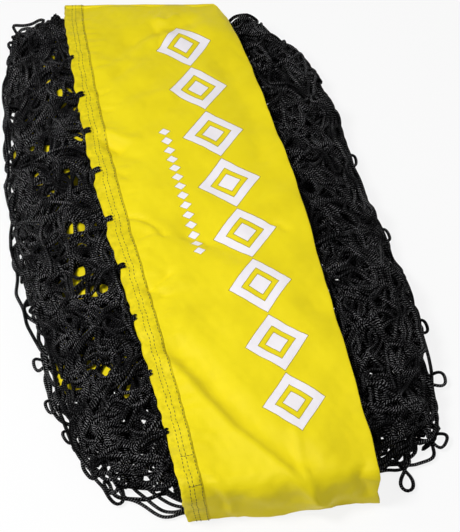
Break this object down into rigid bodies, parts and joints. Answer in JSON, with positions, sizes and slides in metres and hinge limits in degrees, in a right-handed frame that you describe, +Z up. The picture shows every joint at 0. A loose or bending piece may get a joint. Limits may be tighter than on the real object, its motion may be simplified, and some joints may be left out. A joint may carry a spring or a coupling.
{
  "type": "folded sports net",
  "caption": "Stowed knotless sports net: braided cord netting folded into a flat bundle under a wide doubled cloth sleeve sewn along its top edge.",
  "frame": {"origin": "below the middle of the whole bundle, at the height of the surface it lies on", "axes": "+Y along the sleeve towards its far fold, +X across the bundle to the right, +Z up"},
  "size_m": [0.3078, 0.5468, 0.0498],
  "materials": {
    "sleeve_cloth": "satin coated weave",
    "net_cord": "braided cord, slightly glossy"
  },
  "bodies": {
    "root": {"edge_loop_01": "net_cord", "edge_loop_02": "net_cord", "edge_loop_03": "net_cord", "edge_loop_04": "net_cord", "edge_loop_05": "net_cord", "edge_loop_06": "net_cord", "edge_loop_07": "net_cord", "edge_loop_08": "net_cord", "hem_tab_01": "net_cord", "hem_tab_02": "net_cord", "hem_tab_03": "net_cord", "hem_tab_04": "net_cord", "hem_tab_05": "net_cord", "hem_tab_06": "net_cord", "hem_tab_07": "net_cord", "hem_tab_08": "net_cord", "hem_tab_09": "net_cord", "net_panel_1": "net_cord", "net_panel_2": "net_cord", "net_panel_3": "net_cord", "net_panel_4": "net_cord", "net_panel_5": "net_cord", "net_panel_6": "net_cord", "net_turn_1": "net_cord", "net_turn_2": "net_cord", "net_turn_3": "net_cord", "net_turn_4": "net_cord", "net_turn_5": "net_cord", "sleeve": "sleeve_cloth", "sleeve_hem": "sleeve_cloth", "sleeve_lower_pass": "sleeve_cloth"}
  },
  "joints": []
}
